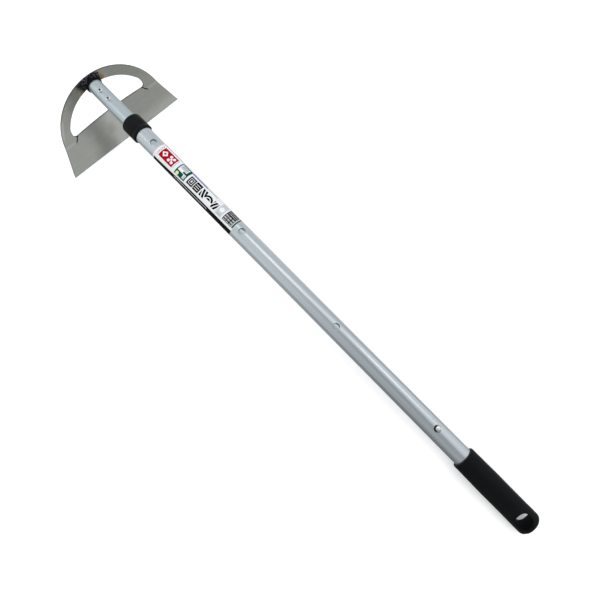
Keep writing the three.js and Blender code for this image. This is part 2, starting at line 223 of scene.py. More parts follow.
class Signal:
    """A value that varies over a surface; arithmetic on it adds shader nodes."""

    def __init__(self, nodes, socket):
        self.nodes = nodes
        self.socket = socket

    def __add__(self, other):
        return self.nodes.maths("ADD", self, other)

    def __sub__(self, other):
        return self.nodes.maths("SUBTRACT", self, other)

    def __mul__(self, other):
        return self.nodes.maths("MULTIPLY", self, other)

    def __truediv__(self, other):
        return self.nodes.maths("DIVIDE", self, other)

    def __pow__(self, power):
        return self.nodes.maths("POWER", self, power)

    def __abs__(self):
        return self.nodes.maths("ABSOLUTE", self)

    def below(self, limit):
        return self.nodes.maths("LESS_THAN", self, limit)

    def spread(self, low, high, to_low=0.0, to_high=1.0):
        """Goes smoothly from one value at low to another at high."""
        inputs = {"Value": self, "From Min": low, "From Max": high, "To Min": to_low, "To Max": to_high}
        return self.nodes.add("MapRange", "Result", inputs, interpolation_type="SMOOTHSTEP")

    def parts(self):
        node = self.nodes.tree.nodes.new("ShaderNodeSeparateXYZ")
        self.nodes.put(node.inputs[0], self)
        return [Signal(self.nodes, node.outputs[name]) for name in "XYZ"]


class Nodes:
    """A node tree, with short ways to add and join nodes."""

    def __init__(self, tree):
        self.tree = tree

    def put(self, socket, value):
        if isinstance(value, Signal):
            self.tree.links.new(value.socket, socket)
        else:
            socket.default_value = value

    def add(self, kind, output, inputs=(), **settings):
        node = self.tree.nodes.new("ShaderNode" + kind)
        for name, value in settings.items():
            setattr(node, name, value)
        for name, value in dict(inputs).items():
            self.put(node.inputs[name], value)
        return Signal(self, node.outputs[output])

    def maths(self, operation, first, second=0.0):
        return self.add("Math", 0, {0: first, 1: second}, operation=operation)


class Paint(Nodes):
    """A material under construction."""

    def __init__(self, name, metallic=0.0, roughness=0.5, specular=0.5):
        self.material = bpy.data.materials.new(name)
        self.material.use_nodes = True
        super().__init__(self.material.node_tree)
        self.tree.nodes.clear()
        self.shader = self.tree.nodes.new("ShaderNodeBsdfPrincipled")
        output = self.tree.nodes.new("ShaderNodeOutputMaterial")
        self.tree.links.new(self.shader.outputs["BSDF"], output.inputs["Surface"])
        self.set("Metallic", metallic)
        self.set("Roughness", roughness)
        self.set("Specular IOR Level", specular)

    def set(self, name, value):
        self.put(self.shader.inputs[name], value)

    def blend(self, factor, first, second):
        return self.add("Mix", "Result", {"Factor": factor, "A": first, "B": second}, data_type="RGBA")

    def scaled(self, colour, factor):
        return self.add("VectorMath", "Vector", {0: colour, "Scale": factor}, operation="SCALE")

    def shaft_point(self):
        """Where the surface is in the shaft's frame, in millimetres."""
        back = SHAFT.inverted()
        return self.add("Mapping", "Vector", {
            "Vector": self.add("TexCoord", "Object"), "Location": back.to_translation(),
            "Rotation": back.to_euler(), "Scale": back.to_scale(),
        })

    def stretched(self, vector, factors):
        return self.add("Mapping", "Vector", {"Vector": vector, "Scale": factors})

    def grain(self, vector, scale, detail=3.0, roughness=0.55):
        inputs = {"Vector": vector, "Scale": scale, "Detail": detail, "Roughness": roughness}
        return self.add("TexNoise", "Fac", inputs)

    def ramp(self, factor, stops):
        node = self.tree.nodes.new("ShaderNodeValToRGB")
        self.put(node.inputs["Fac"], factor)
        elements = node.color_ramp.elements
        while len(elements) < len(stops):
            elements.new(0.5)
        for element, (place, colour) in zip(elements, stops):
            element.position = place
            element.color = (*colour, 1)
        return Signal(self, node.outputs["Color"])

    def bump(self, height, depth_mm, strength=1.0):
        inputs = {"Height": height, "Distance": depth_mm * MM, "Strength": strength}
        self.set("Normal", self.add("Bump", "Normal", inputs))


def distance(first, second):
    return (first ** 2.0 + second ** 2.0) ** 0.5


def soft_band(value, centre, width):
    """One in the middle of a band, falling to nothing at its sides."""
    return abs(value - centre).spread(0, width, 1.0, 0.0)


def within(value, low, high):
    return abs(value - (low + high) / 2).below((high - low) / 2)


def floor_material():
    paint = Paint("studio_floor", roughness=0.7, specular=0.2)
    cloud = paint.grain(paint.add("TexCoord", "Object"), 3)
    paint.set("Base Color", paint.ramp(cloud, [(0.3, (0.86,) * 3), (0.7, (0.88,) * 3)]))
    paint.set("Emission Color", (1, 1, 1, 1))
    paint.set("Emission Strength", 0.16)
    return paint.material


def painted_sheet_reflections(paint, point):
    """Painted reflections on the polished sheet: soft light and dark bands that run down the blade, lighter
    near the cutting edge on the +Y side, a painted highlight along the fold, darker higher up.
    """
    _, across, up = point.parts()
    place = across + (paint.grain(point, 0.03, 2) - 0.5) * 30.0
    tone = place.spread(-20, 30, 0.93, 0.74) - soft_band(place, -34, 30) * 0.32
    tone = tone + soft_band(place, -2, 20) * 0.26
    tone = tone + up.spread(-74, -94) * place.spread(10, 60) * 0.24
    tone = tone + fold_shine(point) * 0.16
    return tone - up.spread(-45, -20) * 0.1


def arch_rise(point):
    """How far up the arch's plane from the fold line the surface is."""
    along, _, up = point.parts()
    return (along - FOLD.x) * -math.sin(ARCH_LEAN) + (up - FOLD.z) * math.cos(ARCH_LEAN)


def fold_shine(point):
    """A painted highlight along the line where the arch is folded from the blade, outside the two slits."""
    side = abs(point.parts()[1]).spread(63, 70)
    return soft_band(arch_rise(point), 0.6, 3.2) * side


def slit_painted_shade(paint, point):
    """Painted shade along each relief slit, which is close to an arc of a circle, and a painted shadow at the
    slit's mouth.
    """
    centre, radius, half_width = Vector((72.9, 9.8)), 11.55, 1.15
    across = abs(point.parts()[1])
    rise = arch_rise(point)
    off = abs(distance(across - centre.x, rise - centre.y) - radius)
    line = off.spread(half_width * 0.6, half_width, 1.0, 0.0)
    inside = rise.spread(7.6, 8.4, 1.0, 0.0) * across.spread(67.4, 68.6, 1.0, 0.0)
    from_mouth = distance(across - (SLIT_MOUTH.x - 0.5), rise - (SLIT_MOUTH.y - 0.6))
    return paint.maths("MAXIMUM", line * inside, from_mouth.spread(1.1, 1.7, 1.0, 0.0))


def painted_edge_highlight(point):
    """A painted highlight in a strip along the arch's outer edge, on one side of the head."""
    across = point.parts()[1]
    rise = arch_rise(point)
    strip = soft_band(distance(across, rise + ARCH_DROP), ARCH_RADIUS - 2.2, 3.0)
    return strip * (across.spread(-60, -74) * rise.spread(8, 24))


WARM_TINT = (
    (0.23, (0.025, 0.022, 0.028)), (0.27, (0.17, 0.07, 0.045)), (0.32, (0.52, 0.31, 0.19)),
    (0.38, (0.60, 0.53, 0.38)), (0.50, (0.66, 0.66, 0.61)),
)
COOL_TINT = (
    (0.28, (0.025, 0.022, 0.028)), (0.36, (0.08, 0.07, 0.045)), (0.44, (0.26, 0.25, 0.15)),
    (0.54, (0.50, 0.49, 0.36)), (0.68, (0.62, 0.62, 0.57)),
)


def with_heat_tint(paint, point, colour):
    """The colours that the weld's heat left on the plate, browner on one side of the stub."""
    _, across, up = point.parts()
    reach = distance(across / 1.25, up) + (paint.grain(point, 0.16, 3) - 0.5) * 11.0
    far = reach / 40.0
    tint = paint.blend(across.spread(-4, 4), paint.ramp(far, COOL_TINT), paint.ramp(far, WARM_TINT))
    return paint.blend(reach.spread(14, 24, 1.0, 0.0), colour, tint)


def blade_material():
    """Stamped stainless plate with a fine grain along the blade, painted reflection bands and highlights, and
    painted shade along the slits.
    """
    paint = Paint("blade_steel", metallic=1.0)
    point = paint.shaft_point()
    fine = paint.grain(paint.stretched(point, (3.2, 0.07, 3.2)), 1.0, 4)
    speck = paint.grain(point, 0.9, 5, 0.7)
    # Painted reflections and highlights set the tone, over the steel's grain.
    tone = painted_sheet_reflections(paint, point) * fine.spread(0.3, 0.7, 1.07, 0.91)
    tone = tone * speck.spread(0.58, 0.78, 1.0, 1.14) + painted_edge_highlight(point) * 0.55
    colour = paint.scaled((0.90, 0.91, 0.835), tone)
    # Painted shade along each slit and a painted shadow at its mouth.
    colour = paint.blend(slit_painted_shade(paint, point), colour, (0.02, 0.02, 0.019, 1))
    paint.set("Base Color", with_heat_tint(paint, point, colour))
    paint.set("Roughness", fine * 0.16 + 0.32)
    paint.bump(fine * 0.6 + speck * 0.4, 0.02, 0.55)
    return paint.material


def painted_rim_shade_material():
    """Painted shade on the plate's rim and on a thin strip along the cutting edge: near-black, dull and
    mottled.
    """
    paint = Paint("painted_rim_shade", roughness=0.6, specular=0.15)
    rim_shade_mottle = paint.grain(paint.stretched(paint.shaft_point(), (0.8, 2.0, 0.8)), 1.5, 4, 0.65)
    paint.set("Base Color", paint.ramp(rim_shade_mottle, [
        (0.3, (0.02, 0.02, 0.018)), (0.6, (0.045, 0.045, 0.042)), (0.8, (0.09, 0.09, 0.085)),
    ]))
    paint.bump(rim_shade_mottle, 0.06, 0.8)
    return paint.material


def weld_material():
    """Black scale on weld metal, brown where it is thin, with pale blue-grey spots that are painted
    highlights on the lumps.
    """
    paint = Paint("weld_scale", metallic=0.75)
    point = paint.shaft_point()
    lumps = paint.grain(point, 0.42, 2, 0.5)
    # The pale blue-grey stop is a painted highlight on the lumps; the near-black and brown stops are scale.
    paint.set("Base Color", paint.ramp(lumps, [
        (0.34, (0.003, 0.003, 0.004)), (0.50, (0.010, 0.011, 0.018)),
        (0.60, (0.15, 0.155, 0.2)), (0.68, (0.03, 0.018, 0.014)),
    ]))
    paint.set("Roughness", lumps.spread(0.3, 0.7, 0.2, 0.5))
    paint.bump(paint.grain(point, 1.1, 3, 0.55), 0.3, 0.7)
    return paint.material


def stub_material():
    """Black finish on a turned stub, with faint turning marks."""
    paint = Paint("stub_black", specular=0.03)
    point = paint.shaft_point()
    wear = paint.grain(point, 0.8, 5, 0.65)
    paint.set("Base Color", paint.ramp(wear, [
        (0.3, (0.003, 0.0035, 0.004)), (0.6, (0.006, 0.0065, 0.0075)), (0.78, (0.02, 0.02, 0.023)),
    ]))
    paint.set("Roughness", wear.spread(0.3, 0.7, 0.34, 0.55))
    paint.bump(paint.grain(paint.stretched(point, (4.0, 0.3, 0.3)), 1.0, 3), 0.03, 0.6)
    return paint.material


def aluminium_material(name, light, dark, roughness):
    """Satin anodised tube with the fine lines that drawing leaves along it."""
    paint = Paint(name, metallic=1.0)
    point = paint.shaft_point()
    lines = paint.grain(paint.stretched(point, (0.012, 2.2, 2.2)), 1.0, 4, 0.6)
    bands = paint.grain(paint.stretched(point, (0.004, 0.45, 0.45)), 1.0, 2)
    scuffs = paint.grain(paint.stretched(point, (0.25, 0.8, 0.8)), 1.0, 5, 0.7)
    colour = paint.blend(bands.spread(0.3, 0.7), dark, light)
    colour = paint.blend(scuffs.spread(0.66, 0.8, 0.0, 0.2), colour, (0.95, 0.96, 0.97, 1))
    paint.set("Base Color", colour)
    paint.set("Roughness", lines * 0.14 + (roughness - 0.07))
    paint.bump(lines, 0.012, 0.6)
    return paint.material


def polished(name, colour, roughness):
    """Plated steel, nearly smooth, and the faint polishing marks on it."""
    paint = Paint(name, metallic=1.0)
    marks = paint.grain(paint.stretched(paint.shaft_point(), (1.5, 1.5, 0.4)), 2.0, 4)
    steel = paint.blend(marks.spread(0.45, 0.75, 0.0, 0.2), colour, (0.7, 0.7, 0.7, 1))
    paint.set("Base Color", steel)
    paint.set("Roughness", marks * 0.05 + roughness)
    paint.bump(marks, 0.008, 0.5)
    return paint, steel, marks


def button_material():
    """Polished steel, with painted shade and a painted dark reflection round the foot of the dome on the side
    facing the head.
    """
    paint, steel, marks = polished("button_polished", (0.93, 0.925, 0.91, 1), 0.08)
    along, across, up = paint.shaft_point().parts()
    side = (along - LATCH_X) * -1.0 + across * -0.9
    low = (up + marks * 0.4).spread(14.7, 15.2, 1.0, 0.0)
    # Painted shade and dark reflection, low on the dome and on the side that faces the head.
    painted_dark_reflection = low * side.spread(0.0, 2.2)
    paint.set("Base Color", paint.blend(painted_dark_reflection, steel, (0.012, 0.011, 0.01, 1)))
    return paint.material


def recess_shade_material():
    """Painted shade inside a screw's cross, near-black and a little mottled."""
    paint = Paint("recess_painted_shade", roughness=0.7, specular=0.1)
    shade_mottle = paint.grain(paint.shaft_point(), 2.0, 4)
    paint.set("Base Color", paint.ramp(shade_mottle, [(0.3, (0.006, 0.006, 0.006)), (0.7, (0.03, 0.029, 0.027))]))
    paint.bump(shade_mottle, 0.05, 0.6)
    return paint.material


def plastic_material(name, dark, light, roughness, specular, texture_mm, depth_mm):
    """Moulded plastic with a fine spark-eroded texture."""
    paint = Paint(name, specular=specular)
    point = paint.shaft_point()
    texture = paint.grain(point, 1 / texture_mm, 3, 0.6)
    paint.set("Base Color", paint.blend(paint.grain(point, 0.05, 3), (*dark, 1), (*light, 1)))
    paint.set("Roughness", texture * 0.14 + (roughness - 0.07))
    paint.bump(texture, depth_mm, 0.7)
    return paint.material


def grip_material():
    """Black rubbery moulding with a soft gloss; the wall of its hanging hole is dull."""
    paint = Paint("grip_black", specular=0.12)
    point = paint.shaft_point()
    along, across, up = point.parts()
    aside = across * math.cos(GRIP_TURN) - up * math.sin(GRIP_TURN)
    outside = distance(along - HANG_HOLE_X, aside).spread(9.8, 10.2)
    cloud = paint.grain(point, 0.05, 3)
    paint.set("Base Color", paint.blend(cloud, (0.0012, 0.0014, 0.0018, 1), (0.0026, 0.003, 0.0036, 1)))
    paint.set("Roughness", outside * -0.42 + 0.85)
    paint.bump(paint.grain(point, 2.8, 3, 0.6), 0.05, 0.7)
    return paint.material


class Print(Paint):
    """A film with flat shapes printed on it, placed by millimetres along the tube and round it."""

    def __init__(self, name, **gloss):
        super().__init__(name, **gloss)
        self.point = self.shaft_point()
        self.along, y, z = self.point.parts()
        self.round = self.maths("ARCTAN2", y, z) * LABEL_RADIUS
        ageing = self.grain(self.point, 0.08, 3)
        self.colour = self.blend(ageing, (0.61, 0.63, 0.65, 1), (0.67, 0.69, 0.71, 1))

    def block(self, x0, x1, r0, r1):
        return within(self.along, x0, x1) * within(self.round, r0, r1)

    def frame(self, x0, x1, r0, r1, width):
        return self.block(x0, x1, r0, r1) - self.block(x0 + width, x1 - width, r0 + width, r1 - width)

    def disc(self, x, r, radius):
        return distance(self.along - x, self.round - r).below(radius)

    def diamond(self, x, r, reach):
        return (abs(self.along - x) + abs(self.round - r)).below(reach)

    def ring(self, x, r, radius, width):
        return within(distance(self.along - x, self.round - r), radius - width / 2, radius + width / 2)

    def stripes(self, value, pitch, share):
        return self.maths("FRACT", value / pitch).below(share)

    def strokes(self, slope, pitch, share):
        """Slanting bars; the slope is how far they lean along the tube for each millimetre round it."""
        return self.stripes(self.along + self.round * slope, pitch, share)

    def weave(self, along_pitch, along_share, round_pitch, round_share):
        along = self.stripes(self.along, along_pitch, along_share)
        return along * self.stripes(self.round, round_pitch, round_share)

    def ink(self, mask, colour):
        self.colour = self.blend(mask, self.colour, (*colour, 1))


WHITE = (0.66, 0.68, 0.70)
BLACK = (0.004, 0.004, 0.005)
RED = (0.34, 0.002, 0.009)
GREEN = (0.0, 0.06, 0.037)
GREY = (0.30, 0.32, 0.34)
BLUE = (0.05, 0.07, 0.33)


def print_red_panel(press):
    press.ink(press.block(145, 170.8, -7.5, 7.8), RED)
    press.ink(press.diamond(151.6, 0.2, 4.8), WHITE)
    press.ink(press.diamond(151.6, 0.2, 2.0), RED)
    for x, r in ((160.8, -2.8), (160.8, 3.2), (166.4, -2.8), (166.4, 3.2)):
        press.ink(press.disc(x, r, 2.1), WHITE)
    press.ink(press.disc(163.6, 0.2, 1.5), WHITE)


def print_green_panel(press):
    press.ink(press.block(172.2, 172.9, -6.4, 6.7), GREY)
    press.ink(press.frame(177.2, 196.4, -9.2, 10.8, 1.7), GREEN)
    press.ink(press.block(178.2, 190.5, -8.4, -2.2), GREEN)
    press.ink(press.disc(181.6, -6.6, 2.6), (0.55, 0.62, 0.30))
    press.ink(press.block(187.4, 194.8, -1.4, 1.2), GREEN)
    press.ink(press.block(192.4, 195.4, 1.2, 9.6), GREEN)
    press.ink(press.block(180.4, 191.0, 2.4, 9.0) * press.stripes(press.round, 2.1, 0.45), GREEN)
    press.ink(press.block(191.4, 195.2, -8.0, -2.4) * press.stripes(press.along, 1.3, 0.4), GREEN)


def print_dark_marks(press):
    """Plain bold shapes in a row, with no lettering among them."""
    press.ink(press.block(199.6, 210.2, -7.3, 5.2), BLACK)
    press.ink(press.frame(201.6, 208.2, -5.2, 3.1, 0.7), WHITE)
    press.ink(press.block(204.0, 205.8, -2.6, 0.6), WHITE)
    press.ink(press.block(211.2, 221.6, -7.3, 5.4), BLACK)
    for r in (-4.8, -1.8, 1.2):
        press.ink(press.block(212.8, 220.0, r, r + 0.8), WHITE)
    press.ink(press.block(223.4, 232.4, -6.8, 5.0) * press.strokes(0.45, 4.8, 0.68), BLACK)
    arch = within(press.round, -3.2, 7)
    press.ink(press.ring(238.6, -4.4, 6.4, 2.8) * arch, BLACK)
    press.ink(press.ring(238.6, -4.4, 2.4, 2.6) * arch, BLACK)
    press.ink(press.block(246.4, 255.0, -7.2, 3.4) * press.strokes(-0.45, 4.6, 0.68), BLACK)


def print_table(press):
    press.ink(press.block(256.4, 267.0, -8.2, 11.6), (0.46, 0.47, 0.49))
    press.ink(press.disc(261.8, 1.4, 3.4), WHITE)
    press.ink(press.block(258.8, 265.0, -6.8, -5.0), (0.34, 0.35, 0.37))
    press.ink(press.block(269.2, 285.8, -7.2, 12.0), BLACK)
    press.ink(press.block(270.2, 285.0, -6.4, 3.4) * press.weave(5.3, 0.8, 3.7, 0.74), (0.46, 0.47, 0.48))
    press.ink(press.block(270.6, 284.4, -6.0, 3.0) * press.weave(1.5, 0.6, 1.85, 0.5), BLACK)
    press.ink(press.block(270.4, 285.0, 4.2, 11.6) * press.weave(2.2, 0.7, 2.4, 0.34), (0.5, 0.51, 0.52))
    press.ink(press.block(286.8, 289.0, -7.0, 12.8), GREEN)


def print_borders(press):
    dots = press.block(141.8, 143.4, -7.6, 8.0) * press.stripes(press.round, 2.7, 0.45)
    press.ink(dots, (0.10, 0.105, 0.11))
    below = press.round.below(press.along.spread(139, 215, -13.4, -10.7))
    press.ink(press.block(139.4, 289.5, -19.5, -10.0) * below, BLACK)
    press.ink(press.block(180, 243.5, -14.3, -13.6), WHITE)
    press.ink(press.block(138.0, 173.6, 12.0, 13.1), RED)
    press.ink(press.block(196.6, 226.0, 8.2, 11.0) * press.stripes(press.along, 2.4, 0.86), BLUE)
    dashes = press.block(226.6, 245.2, 8.8, 10.4) * press.stripes(press.along, 1.9, 0.62)
    press.ink(dashes, (0.07, 0.07, 0.08))


def print_back(press):
    """The side away from the snap holes: a grey panel, rows of plain dashes and a green band."""
    press.ink(press.block(146, 282, 20.5, 21.4), GREEN)
    press.ink(press.block(146, 190, 24.0, 38.0), (0.74, 0.75, 0.76))
    dashes = press.weave(3.1, 0.78, 2.3, 0.4)
    press.ink(press.block(196, 280, 24.0, 39.0) * dashes, (0.18, 0.18, 0.19))
    press.ink(press.block(146, 282, -38.0, -24.0) * dashes, (0.18, 0.18, 0.19))


def label_material():
    """A glossy white film with plain printed blocks."""
    press = Print("label_film", specular=0.03)
    print_borders(press)
    print_red_panel(press)
    print_green_panel(press)
    print_dark_marks(press)
    print_table(press)
    print_back(press)
    press.set("Base Color", press.colour)
    press.set("Roughness", press.grain(press.point, 0.5, 4).spread(0.3, 0.7, 0.24, 0.36))
    press.bump(press.grain(press.stretched(press.point, (0.05, 0.4, 0.4)), 1.0, 3), 0.05, 0.5)
    return press.material


# Mesh tools.

def finish_piece(name, bm, material, body, nodes, sharp=35, weighted=False):
    """Turns a bmesh in the shaft's frame into a piece that stands for some CAD nodes."""
    bmesh.ops.recalc_face_normals(bm, faces=bm.faces)
    mesh = bpy.data.meshes.new(name)
    bm.to_mesh(mesh)
    bm.free()
    mesh.transform(SHAFT)
    mesh.polygons.foreach_set("use_smooth", [True] * len(mesh.polygons))
    mesh.set_sharp_from_angle(angle=math.radians(sharp))
    mesh.materials.append(material)
    piece = bpy.data.objects.new(name, mesh)
    bpy.context.scene.collection.objects.link(piece)
    if weighted:
        modifier = piece.modifiers.new("even_faces", "WEIGHTED_NORMAL")
        modifier.keep_sharp = True
    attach(piece, body)
    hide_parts(*nodes)
    return piece


def ring_point(x, radius, turn):
    return Vector((x, radius * math.sin(turn), radius * math.cos(turn)))


def turned(outline, steps=96, closed=True, matrix=None):
    """A surface turned about X from [x, radius] points; a point with no radius is a pole."""
    bm = bmesh.new()
    rings = []
    for x, radius in outline:
        count = steps if radius > 0 else 1
        rings.append([bm.verts.new(ring_point(x, radius, 2 * math.pi * k / steps)) for k in range(count)])
    pairs = list(zip(rings, rings[1:]))
    if closed:
        pairs.append((rings[-1], rings[0]))
    for first, second in pairs:
        for k in range(steps):
            following = k + 1
            corners = [first[k % len(first)], first[following % len(first)],
                       second[following % len(second)], second[k % len(second)]]
            distinct = list(dict.fromkeys(corners))
            if len(distinct) > 2:
                bm.faces.new(distinct)
    if matrix is not None:
        bm.transform(matrix)
    return bm


def rounded(points, radius):
    """An open outline with an arc in place of each corner that isn't on the axis."""
    steps = 4
    result = []
    count = len(points)
    for k, (x, y) in enumerate(points):
        here = Vector((x, y))
        if k in (0, count - 1) or y == 0:
            result.append((x, y))
            continue
        before = Vector(points[k - 1]) - here
        after = Vector(points[k + 1]) - here
        cut = min(radius, before.length * 0.45, after.length * 0.45)
        start = here + before.normalized() * cut
        end = here + after.normalized() * cut
        for i in range(steps + 1):
            t = i / steps
            p = start * (1 - t) ** 2 + here * 2 * t * (1 - t) + end * t ** 2
            result.append((p.x, p.y))
    return result


def cut_with(bm, tools):
    """Cuts closed tool meshes out of a closed mesh, and gives back the result."""
    def as_object(name, source):
        mesh = bpy.data.meshes.new(name)
        source.to_mesh(mesh)
        source.free()
        made = bpy.data.objects.new(name, mesh)
        bpy.context.scene.collection.objects.link(made)
        return made

    bmesh.ops.recalc_face_normals(bm, faces=bm.faces)
    work = as_object("cut_work", bm)
    cutters = []
    for tool in tools:
        bmesh.ops.recalc_face_normals(tool, faces=tool.faces)
        cutter = as_object("cut_tool", tool)
        modifier = work.modifiers.new("cut", "BOOLEAN")
        modifier.solver = "EXACT"
        modifier.operation = "DIFFERENCE"
        modifier.object = cutter
        cutters.append(cutter)
    graph = bpy.context.evaluated_depsgraph_get()
    result = bmesh.new()
    result.from_mesh(work.evaluated_get(graph).to_mesh())
    for made in [work, *cutters]:
        bpy.data.objects.remove(made)
    return result


class Skin:
    """One face of a tube, as rings of points along the shaft, with a space left open at each window."""

    def __init__(self, bm, rows, radius_at, steps, first_turn=0.0):
        self.bm = bm
        self.rows = rows
        self.radius_at = radius_at
        self.steps = steps
        self.first_turn = first_turn
        self.rings = []
        for x, radius in rows:
            turns = [self.turn(j) for j in range(steps)]
            self.rings.append([bm.verts.new(ring_point(x, radius_at(x, t) if radius is None else radius, t))
                               for t in turns])

    def turn(self, j):
        return self.first_turn + 2 * math.pi * j / self.steps

    def vertex(self, key):
        i, j = key
        return self.rings[i][j % self.steps]

    def fill(self, windows=()):
        covered = {(i, j % self.steps) for w in windows
                   for i in range(w.i0, w.i1) for j in range(w.j0, w.j1)}
        for i in range(len(self.rows) - 1):
            for j in range(self.steps):
                if (i, j) not in covered:
                    self.bm.faces.new([self.vertex((i, j)), self.vertex((i, j + 1)),
                                       self.vertex((i + 1, j + 1)), self.vertex((i + 1, j))])

    def patch(self, window, rounding=0.0):
        """Fills a window up to a hole's rounded edge, and gives back the edge's points by key."""
        previous = {key: self.vertex(key) for key in window.loop}
        levels = [(0.6, 0, 0), (0.25, 0, 0)]
        arc = 5 if rounding else 0
        for k in range(arc + 1):
            angle = math.pi / 2 * k / max(arc, 1)
            levels.append((0, rounding * (1 - math.sin(angle)), rounding * (1 - math.cos(angle))))
        for share, outward, depth in levels:
            current = {}
            for key in window.loop:
                x, turn = self.rows[key[0]][0], self.turn(key[1])
                dx = x - window.x
                dy = self.radius_at(x, turn) * math.sin(turn - window.turn)
                heading = math.atan2(dy, dx)
                edge = window.outline(heading)
                reach = edge + outward + (rounding if share else 0)
                reach += (math.hypot(dx, dy) - reach) * share
                current[key] = self.bm.verts.new(
                    self.lifted(window, reach * math.cos(heading), reach * math.sin(heading), depth))
            join_loops(self.bm, previous, current, window.loop)
            previous = current
        return previous

    def lifted(self, window, dx, dy, depth):
        x = window.x + dx
        turn = window.turn + math.asin(dy / self.radius_at(x, window.turn))
        height = math.sqrt(self.radius_at(x, turn) ** 2 - dy ** 2) - depth
        c, s = math.cos(window.turn), math.sin(window.turn)
        return Vector((x, dy * c + height * s, height * c - dy * s))


class Window:
    """A rectangle of a skin's grid that is left open round a hole."""

    def __init__(self, skin, x, turn, reach, reach_turn, outline):
        self.x = x
        self.turn = turn
        self.outline = outline
        places = [row[0] for row in skin.rows]
        self.i0 = min(range(len(places)), key=lambda i: abs(places[i] - (x - reach)))
        self.i1 = min(range(len(places)), key=lambda i: abs(places[i] - (x + reach)))
        step = 2 * math.pi / skin.steps
        self.j0 = round((turn - reach_turn - skin.first_turn) / step)
        self.j1 = round((turn + reach_turn - skin.first_turn) / step)
        self.loop = [(self.i0, j) for j in range(self.j0, self.j1)]
        self.loop += [(i, self.j1) for i in range(self.i0, self.i1)]
        self.loop += [(self.i1, j) for j in range(self.j1, self.j0, -1)]
        self.loop += [(i, self.j0) for i in range(self.i1, self.i0, -1)]


def join_loops(bm, first, second, loop, second_key=lambda key: key):
    for key, following in zip(loop, loop[1:] + loop[:1]):
        bm.faces.new([first[key], first[following], second[second_key(following)], second[second_key(key)]])


def join_rings(bm, first, second):
    count = len(first)
    for k in range(count):
        bm.faces.new([first[k], first[(k + 1) % count], second[(k + 1) % count], second[k]])


def close_ring(bm, ring, x):
    pole = bm.verts.new((x, 0, 0))
    count = len(ring)
    for k in range(count):
        bm.faces.new([ring[k], ring[(k + 1) % count], pole])


def steady(value):
    return max(0.0, min(1.0, value))


def smooth_step(low, high, value):
    t = steady((value - low) / (high - low))
    return t * t * (3 - 2 * t)


# The plate.

def lean_up(lean):
    return Vector((-math.sin(lean), 0, math.cos(lean)))


def lean_out(lean):
    return Vector((math.cos(lean), 0, math.sin(lean)))


FOLD_REACH = 3.5
FOLD_SLICES = (61, 62.75, 64.5, 66.25, 68)
SLIT_MOUTH = Vector((61.7, 7.0))
SLIT_BEND = Vector((62.9, 2.5))
SLIT_FOOT = Vector((66.8, 0.0))
SLIT_GAP = 0.1


def slit_side(rise):
    """How far out the slit's middle line is at a rise between its foot and its mouth."""
    a = SLIT_MOUTH.y - 2 * SLIT_BEND.y + SLIT_FOOT.y
    b = 2 * (SLIT_BEND.y - SLIT_MOUTH.y)
    c = SLIT_MOUTH.y - rise
    t = steady((-b - math.sqrt(max(0.0, b * b - 4 * a * c))) / (2 * a))
    return (SLIT_MOUTH * (1 - t) ** 2 + SLIT_BEND * 2 * t * (1 - t) + SLIT_FOOT * t ** 2).x


def arch_share(across, rise):
    """How far a point of the plate belongs to the arch, and not to the blade and its tongue."""
    side = abs(across)
    if rise > TONGUE_MIDDLE_HEIGHT + 0.1:
        return 1.0
    if rise > 0.1:
        return 1.0 if side > slit_side(rise) else 0.0
    return smooth_step(61, 68, side)


def plate_point(across, rise, depth):
    """A point of the folded plate, from its place on the flat blank."""
    on_blade = FOLD + lean_up(BLADE_LEAN) * rise + lean_out(BLADE_LEAN) * depth
    if rise <= -FOLD_REACH:
        on_arch = on_blade
    else:
        t = steady((rise + FOLD_REACH) / (2 * FOLD_REACH))
        lean = BLADE_LEAN + (ARCH_LEAN - BLADE_LEAN) * t
        start = FOLD - lean_up(BLADE_LEAN) * FOLD_REACH
        end = FOLD + lean_up(ARCH_LEAN) * FOLD_REACH
        on_arch = start * (1 - t) ** 2 + FOLD * 2 * t * (1 - t) + end * t ** 2
        if rise > FOLD_REACH:
            on_arch = FOLD + lean_up(ARCH_LEAN) * rise
        on_arch = on_arch + lean_out(lean) * depth
    point = on_blade.lerp(on_arch, arch_share(across, rise))
    return point + Vector((0, across, 0))


def arc(cx, cy, radius, start, end, steps):
    return [(cx + radius * math.cos(start + (end - start) * k / steps),
             cy + radius * math.sin(start + (end - start) * k / steps)) for k in range(steps + 1)]


def curve(a, b, c, steps):
    """A curve from a to c that leaves and arrives along the lines through b."""
    a, b, c = Vector(a), Vector(b), Vector(c)
    points = []
    for k in range(steps + 1):
        t = k / steps
        points.append(tuple(a * (1 - t) ** 2 + b * 2 * t * (1 - t) + c * t ** 2))
    return points


def mirrored(points):
    return [(-x, y) for x, y in reversed(points)]


def blank_outer():
    half = math.sqrt(ARCH_RADIUS ** 2 - ARCH_DROP ** 2)
    start = math.asin(ARCH_DROP / ARCH_RADIUS)
    crown = arc(0, -ARCH_DROP, ARCH_RADIUS, start + 0.09, math.pi - start - 0.09, 96)
    side = curve((half + 3.75, -10), (half + 0.3, -0.8), crown[0], 6)
    right = [(BLADE_HALF_WIDTH, -BLADE_DEPTH), *side]
    return right[:-1] + crown + mirrored(right)[1:]


